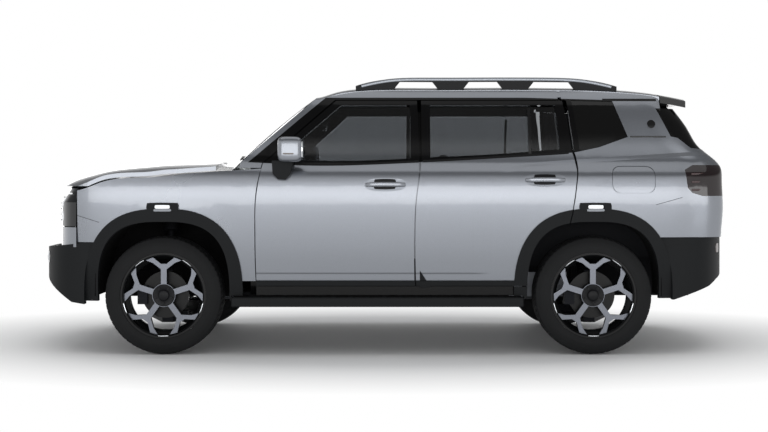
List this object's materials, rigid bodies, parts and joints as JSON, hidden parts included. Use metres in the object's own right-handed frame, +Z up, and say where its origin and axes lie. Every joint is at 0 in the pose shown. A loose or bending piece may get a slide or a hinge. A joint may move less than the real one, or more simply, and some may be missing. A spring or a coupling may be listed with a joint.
{
  "type": "compact off-road suv",
  "caption": "Boxy compact four-wheel-drive family car with black off-road cladding, side steps, roof rails and alloy wheels.",
  "frame": {"origin": "on the ground under the middle of the bounding box", "axes": "+X towards the tail, +Y towards the car's right-hand side, +Z up"},
  "size_m": [4.47, 2.1388, 1.764],
  "materials": {
    "silver_paint": "silver metallic clear coat",
    "frame_paint": "black gloss paint on the door frames and pillars",
    "tinted_glass": "tinted safety glass",
    "black_cladding": "grained black moulding",
    "dark_plastic": "black moulding",
    "wheel_alloy": "machined face over black",
    "tyre_rubber": "matt rubber",
    "red_lamp": "red lens",
    "clear_lamp": "clear lens over dark reflectors",
    "rail_alloy": "satin anodised",
    "seat_fabric": "dark woven cloth",
    "cabin_plastic": "dark grained moulding",
    "underbody_steel": "black underbody coating",
    "engine_alloy": "cast",
    "chassis_iron": "dark coated"
  },
  "bodies": {
    "body": {"front_fenders": "silver_paint", "arch_cladding": "black_cladding", "tail_lamps": "red_lamp", "roof": "silver_paint", "rear_quarters": "silver_paint", "front_bumper": "black_cladding", "headlamps": "clear_lamp", "grille": "dark_plastic", "fascia": "silver_paint", "fixed_glass": "tinted_glass", "side_frames": "frame_paint", "rear_bumper": "black_cladding", "roof_rails": "rail_alloy", "side_steps": "black_cladding", "floor_pan": "underbody_steel", "arch_liners": "dark_plastic", "engine_block": "engine_alloy", "exhaust_and_tank": "underbody_steel", "seats": "seat_fabric", "seat_bases": "cabin_plastic", "dashboard": "cabin_plastic", "front_suspension": "chassis_iron", "front_structure": "underbody_steel", "rear_suspension": "chassis_iron"},
    "door_front_left": {"door_front_left": "silver_paint", "glass_front_left": "tinted_glass", "trim_front_left": "black_cladding"},
    "door_front_right": {"door_front_right": "silver_paint", "glass_front_right": "tinted_glass", "trim_front_right": "black_cladding"},
    "door_rear_left": {"door_rear_left": "silver_paint", "glass_rear_left": "tinted_glass", "trim_rear_left": "black_cladding"},
    "door_rear_right": {"door_rear_right": "silver_paint", "glass_rear_right": "tinted_glass", "trim_rear_right": "black_cladding"},
    "bonnet": {"bonnet": "silver_paint"},
    "tailgate": {"tailgate": "silver_paint", "tailgate_glass": "tinted_glass"},
    "fuel_flap": {"fuel_flap": "silver_paint"},
    "steering_wheel": {"steering_wheel": "cabin_plastic"},
    "knuckle_left": {"knuckle_left": "chassis_iron"},
    "knuckle_right": {"knuckle_right": "chassis_iron"},
    "wheel_front_left": {"rim_front_left": "wheel_alloy", "tyre_front_left": "tyre_rubber"},
    "wheel_front_right": {"rim_front_right": "wheel_alloy", "tyre_front_right": "tyre_rubber"},
    "wheel_rear_left": {"rim_rear_left": "wheel_alloy", "tyre_rear_left": "tyre_rubber"},
    "wheel_rear_right": {"rim_rear_right": "wheel_alloy", "tyre_rear_right": "tyre_rubber"}
  },
  "joints": [
    {"name": "door_front_left_hinge", "type": "hinge", "parent": "body", "child": "door_front_left", "pos_m": [-0.7912, -0.9375, 0.7943], "axis": [0, 0, -1], "range_deg": [0, 65]},
    {"name": "door_front_right_hinge", "type": "hinge", "parent": "body", "child": "door_front_right", "pos_m": [-0.7912, 0.9375, 0.7943], "axis": [0, 0, 1], "range_deg": [0, 65]},
    {"name": "door_rear_left_hinge", "type": "hinge", "parent": "body", "child": "door_rear_left", "pos_m": [0.2125, -0.9407, 0.7943], "axis": [0, 0, -1], "range_deg": [0, 65]},
    {"name": "door_rear_right_hinge", "type": "hinge", "parent": "body", "child": "door_rear_right", "pos_m": [0.2125, 0.9407, 0.7943], "axis": [0, 0, 1], "range_deg": [0, 65]},
    {"name": "bonnet_hinge", "type": "hinge", "parent": "body", "child": "bonnet", "pos_m": [-1.0796, 0, 1.2117], "axis": [0, 1, 0], "range_deg": [0, 55]},
    {"name": "tailgate_hinge", "type": "hinge", "parent": "body", "child": "tailgate", "pos_m": [1.791, 0, 1.6565], "axis": [0, -1, 0], "range_deg": [0, 75]},
    {"name": "fuel_flap_hinge", "type": "hinge", "parent": "body", "child": "fuel_flap", "pos_m": [1.4327, -0.9361, 1.0989], "axis": [0, 0, -1], "range_deg": [0, 95]},
    {"name": "steer_left", "type": "hinge", "parent": "body", "child": "knuckle_left", "pos_m": [-1.389, -0.738, 0.3715], "axis": [0, 0, 1], "range_deg": [-33, 33]},
    {"name": "steer_right", "type": "hinge", "parent": "body", "child": "knuckle_right", "pos_m": [-1.389, 0.738, 0.3715], "axis": [0, 0, 1], "range_deg": [-33, 33]},
    {"name": "steering_wheel_turn", "type": "hinge", "parent": "body", "child": "steering_wheel", "pos_m": [-0.417, -0.36, 1.059], "axis": [0.9135, 0, 0.4067], "range_deg": [-470, 470]},
    {"name": "wheel_front_left_spin", "type": "hinge", "parent": "knuckle_left", "child": "wheel_front_left", "pos_m": [-1.389, -0.8, 0.3715], "axis": [0, 1, 0], "continuous": true},
    {"name": "wheel_front_right_spin", "type": "hinge", "parent": "knuckle_right", "child": "wheel_front_right", "pos_m": [-1.389, 0.8, 0.3715], "axis": [0, 1, 0], "continuous": true},
    {"name": "wheel_rear_left_spin", "type": "hinge", "parent": "body", "child": "wheel_rear_left", "pos_m": [1.311, -0.8, 0.3715], "axis": [0, 1, 0], "continuous": true},
    {"name": "wheel_rear_right_spin", "type": "hinge", "parent": "body", "child": "wheel_rear_right", "pos_m": [1.311, 0.8, 0.3715], "axis": [0, 1, 0], "continuous": true}
  ],
  "couplings": [
    {"joint": "steer_right", "follows": "steer_left", "ratio": 1},
    {"joint": "steering_wheel_turn", "follows": "steer_left", "ratio": 14}
  ]
}
